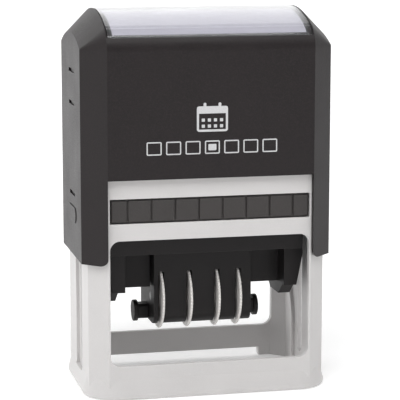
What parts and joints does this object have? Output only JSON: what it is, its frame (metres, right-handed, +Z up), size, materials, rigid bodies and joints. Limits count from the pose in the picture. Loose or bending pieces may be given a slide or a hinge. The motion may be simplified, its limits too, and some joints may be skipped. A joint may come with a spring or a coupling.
{
  "type": "rotary date stamp",
  "caption": "Self-inking date stamp: a sliding housing turns a rubber text die from its ink pad to the paper, with thumb-set date wheels in the middle of the die.",
  "frame": {"origin": "centre of the footprint, on the surface that the stamp stands on", "axes": "+Z up along the press stroke, +X along the die's length, the ink pad's open front faces -Y"},
  "size_m": [0.0818, 0.052, 0.1228],
  "materials": {
    "frame_plastic": "satin",
    "spring_steel": "bright drawn",
    "housing_plastic": "fine spark texture",
    "label_paper": "blank coated paper",
    "window_clear": "clear moulded",
    "pad_plastic": "moulded",
    "ink_felt": "inked felt",
    "mechanism_plastic": "moulded",
    "pin_steel": "turned",
    "backing_plastic": "moulded",
    "die_rubber": "laser engraved",
    "wheel_plastic": "satin",
    "band_rubber": "moulded"
  },
  "bodies": {
    "base": {"base_frame": "frame_plastic", "return_spring_left": "spring_steel", "return_spring_right": "spring_steel"},
    "housing": {"housing_shell": "housing_plastic", "index_label": "label_paper"},
    "window": {"index_window": "window_clear"},
    "lock_left": {"lock_button_left": "housing_plastic"},
    "lock_right": {"lock_button_right": "housing_plastic"},
    "ink_pad": {"ink_pad_tray": "pad_plastic", "ink_felt": "ink_felt"},
    "carrier": {"swivel_carrier": "mechanism_plastic", "pivot_pin_left": "pin_steel", "pivot_pin_right": "pin_steel", "backing_plate": "backing_plastic", "text_die": "die_rubber", "dater_cradle": "mechanism_plastic", "wheel_axle": "pin_steel", "band_platen": "mechanism_plastic", "detent_comb": "spring_steel", "retaining_stud_left": "mechanism_plastic", "retaining_stud_right": "mechanism_plastic", "date_band_day_tens": "band_rubber", "date_band_day_units": "band_rubber", "date_band_month": "band_rubber", "date_band_year": "band_rubber"},
    "wheel_day_tens": {"date_wheel_day_tens": "wheel_plastic"},
    "wheel_day_units": {"date_wheel_day_units": "wheel_plastic"},
    "wheel_month": {"date_wheel_month": "wheel_plastic"},
    "wheel_year": {"date_wheel_year": "wheel_plastic"}
  },
  "joints": [
    {"name": "press", "type": "slide", "parent": "base", "child": "housing", "axis": [0, 0, -1], "range_m": [0, 0.0375], "stiffness_N_per_m": 500, "springref_m": -0.012, "deforming": ["return_spring_left", "return_spring_right"]},
    {"name": "swivel", "type": "hinge", "parent": "housing", "child": "carrier", "pos_m": [0, 0, 0.0465], "axis": [1, 0, 0], "range_deg": [0, 180]},
    {"name": "pad_slide", "type": "slide", "parent": "base", "child": "ink_pad", "axis": [0, 1, 0], "range_m": [-0.045, 0]},
    {"name": "window_lift", "type": "slide", "parent": "housing", "child": "window", "axis": [0, 0, 1], "range_m": [0, 0.02]},
    {"name": "lock_push_left", "type": "slide", "parent": "housing", "child": "lock_left", "axis": [1, 0, 0], "range_m": [0, 0.0008], "stiffness_N_per_m": 800, "springref_m": -0.001},
    {"name": "lock_push_right", "type": "slide", "parent": "housing", "child": "lock_right", "axis": [-1, 0, 0], "range_m": [0, 0.0008], "stiffness_N_per_m": 800, "springref_m": -0.001},
    {"name": "set_day_tens", "type": "hinge", "parent": "carrier", "child": "wheel_day_tens", "pos_m": [0, -0.00615, 0.0295], "axis": [1, 0, 0], "continuous": true},
    {"name": "set_day_units", "type": "hinge", "parent": "carrier", "child": "wheel_day_units", "pos_m": [0, -0.00615, 0.0295], "axis": [1, 0, 0], "continuous": true},
    {"name": "set_month", "type": "hinge", "parent": "carrier", "child": "wheel_month", "pos_m": [0, -0.00615, 0.0295], "axis": [1, 0, 0], "continuous": true},
    {"name": "set_year", "type": "hinge", "parent": "carrier", "child": "wheel_year", "pos_m": [0, -0.00615, 0.0295], "axis": [1, 0, 0], "continuous": true}
  ],
  "couplings": [
    {"joint": "swivel", "follows": "press", "rad_per_m": 83.77}
  ]
}
